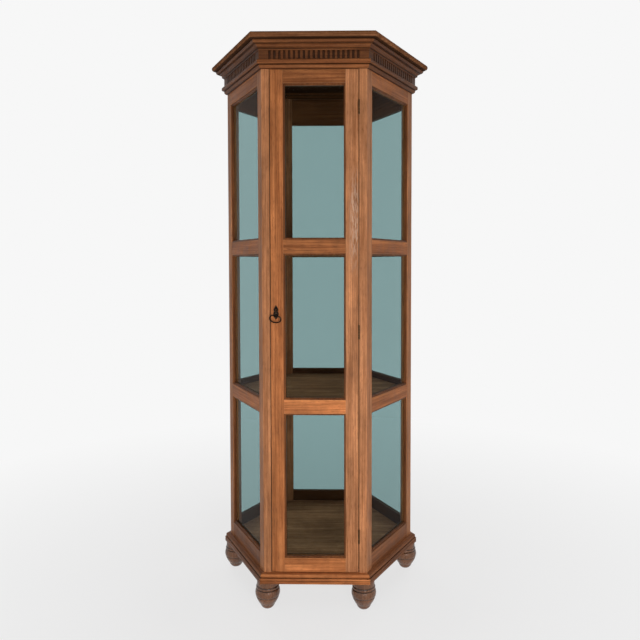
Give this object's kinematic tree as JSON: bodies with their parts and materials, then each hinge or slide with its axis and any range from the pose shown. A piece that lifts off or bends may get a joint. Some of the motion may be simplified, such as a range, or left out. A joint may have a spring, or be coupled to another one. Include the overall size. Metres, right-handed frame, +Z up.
{
  "type": "hexagonal display cabinet",
  "caption": "Free-standing hexagonal glazed display cabinet on turned feet, with shelves, a fluted frieze and cornice, a hinged glass door and a drop-ring pull.",
  "frame": {"origin": "on the floor, under the centre of the hexagon", "axes": "+Z up; the door faces -Y; +X to the right as seen from the front"},
  "size_m": [0.8178, 0.7082, 1.9245],
  "materials": {
    "case_wood": "worn waxed hardwood, straight upright grain",
    "cornice_wood": "darker waxed hardwood",
    "base_wood": "darker waxed hardwood, turned and moulded",
    "shelf_wood": "dull hardwood boards",
    "glass": "clear, slightly green at the edge",
    "dark_brass": "dark patina, worn brighter on the high spots",
    "lock_brass": "dull brass",
    "iron": "aged dark iron"
  },
  "bodies": {
    "case": {"post_front_left": "case_wood", "post_front_right": "case_wood", "post_right": "case_wood", "post_rear_right": "case_wood", "post_rear_left": "case_wood", "post_left": "case_wood", "top_rail_right_front": "case_wood", "top_rail_right_rear": "case_wood", "top_rail_rear": "case_wood", "top_rail_left_rear": "case_wood", "top_rail_left_front": "case_wood", "shelf_rails_right_front": "case_wood", "shelf_rails_right_rear": "case_wood", "shelf_rails_rear": "case_wood", "shelf_rails_left_rear": "case_wood", "shelf_rails_left_front": "case_wood", "bottom_rail_right_front": "case_wood", "bottom_rail_right_rear": "case_wood", "bottom_rail_rear": "case_wood", "bottom_rail_left_rear": "case_wood", "bottom_rail_left_front": "case_wood", "head_rail": "case_wood", "panes_right_front": "glass", "panes_right_rear": "glass", "panes_rear": "glass", "panes_left_rear": "glass", "panes_left_front": "glass", "case_glazing_beads": "case_wood", "floor_board": "shelf_wood", "lower_shelf": "shelf_wood", "upper_shelf": "shelf_wood", "shelf_bearers": "shelf_wood", "base_frame": "base_wood", "feet": "base_wood", "necking_moulding": "cornice_wood", "frieze": "cornice_wood", "crown_moulding": "cornice_wood", "top_board": "cornice_wood", "hinge_post_leaves": "iron", "hinge_pins": "iron", "case_screws": "iron", "strike_plate": "lock_brass"},
    "door": {"door_hinge_stile": "case_wood", "door_lock_stile": "case_wood", "door_top_rail": "case_wood", "door_upper_rail": "case_wood", "door_lower_rail": "case_wood", "door_bottom_rail": "case_wood", "door_pane_bottom": "glass", "door_pane_middle": "glass", "door_pane_top": "glass", "door_glazing_beads": "case_wood", "hinge_door_leaves": "iron", "door_screws": "iron", "lock_body": "lock_brass", "pull_plate": "dark_brass", "pull_eye": "dark_brass"},
    "ring": {"pull_ring": "dark_brass"},
    "bolt": {"lock_bolt": "lock_brass"}
  },
  "joints": [
    {"name": "door_hinge", "type": "hinge", "parent": "case", "child": "door", "pos_m": [0.14825, -0.30621, 0.9475], "axis": [0, 0, 1], "range_deg": [0, 180]},
    {"name": "ring_swing", "type": "hinge", "parent": "door", "child": "ring", "pos_m": [-0.1295, -0.31351, 0.99835], "axis": [-1, 0, 0], "range_deg": [-25, 85]},
    {"name": "bolt_throw", "type": "slide", "parent": "door", "child": "bolt", "axis": [-1, 0, 0], "range_m": [0, 0.007]}
  ]
}
